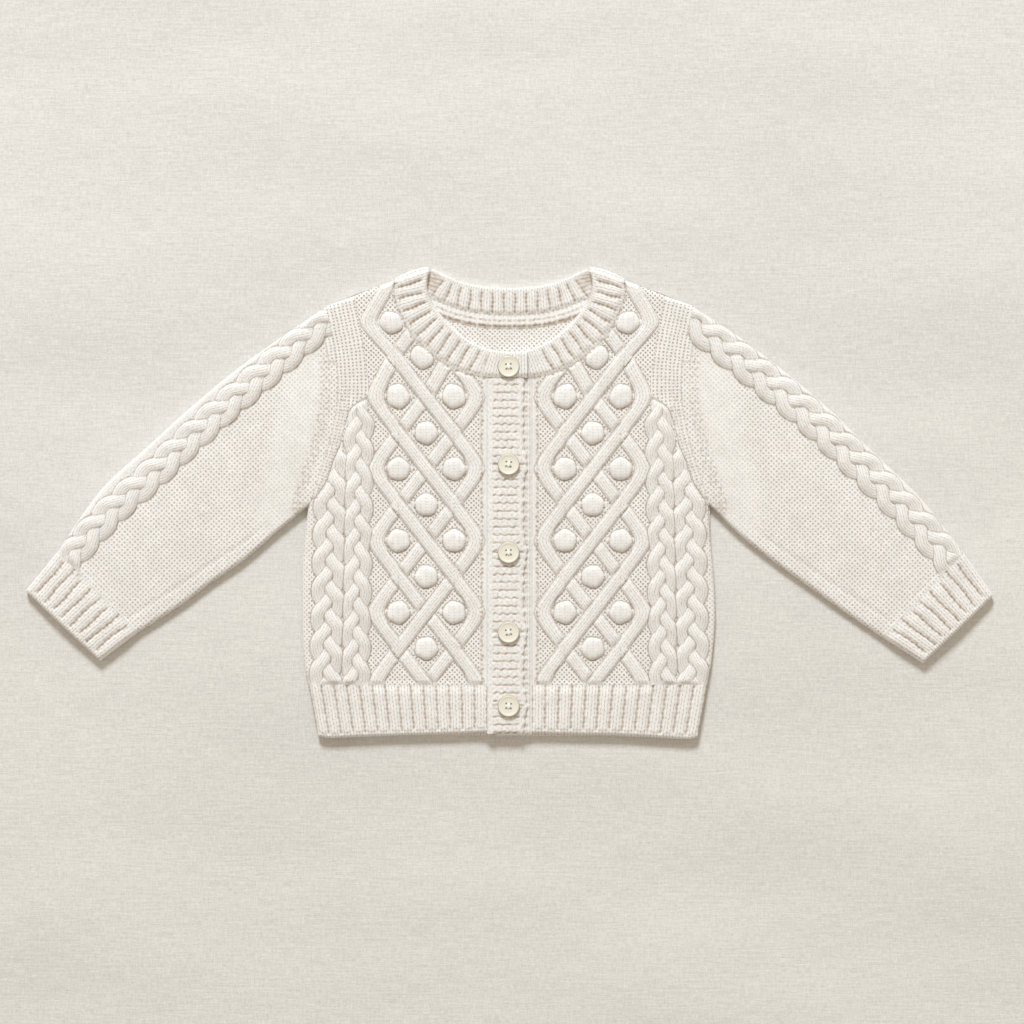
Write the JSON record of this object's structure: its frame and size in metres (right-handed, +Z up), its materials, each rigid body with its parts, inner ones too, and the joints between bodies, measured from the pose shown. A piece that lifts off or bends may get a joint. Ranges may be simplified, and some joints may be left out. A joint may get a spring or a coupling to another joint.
{
  "type": "baby cardigan",
  "caption": "Hand-knit baby cardigan lying flat and buttoned, with crossing ropes, bobbles and plaits, a ribbed round neckband, hem and cuffs, and plaited long sleeves.",
  "frame": {"origin": "middle of the wingspan and of the length, at the level that the garment rests on", "axes": "+X towards the wearer's left cuff, +Y from the hem towards the neck, +Z up from the surface through the back and then the fronts"},
  "size_m": [0.6298, 0.3059, 0.0125],
  "materials": {
    "body_wool": "undyed cream wool, knitted in moss stitch with raised ropes, plaits and bobbles",
    "rib_wool": "the same wool, knitted in rib two stitches wide",
    "band_wool": "the same wool, knitted in garter ridges",
    "button_resin": "cream resin, softly polished"
  },
  "bodies": {
    "root": {"back": "body_wool", "front_right": "body_wool", "front_left": "body_wool", "sleeve_right": "body_wool", "sleeve_left": "body_wool", "cuff_right": "rib_wool", "cuff_left": "rib_wool", "hem_right": "rib_wool", "hem_left": "rib_wool", "hem_back": "rib_wool", "neckband": "rib_wool", "buttonhole_band": "band_wool", "button_band": "band_wool", "button_1": "button_resin", "button_2": "button_resin", "button_3": "button_resin", "button_4": "button_resin", "button_5": "button_resin"}
  },
  "joints": []
}
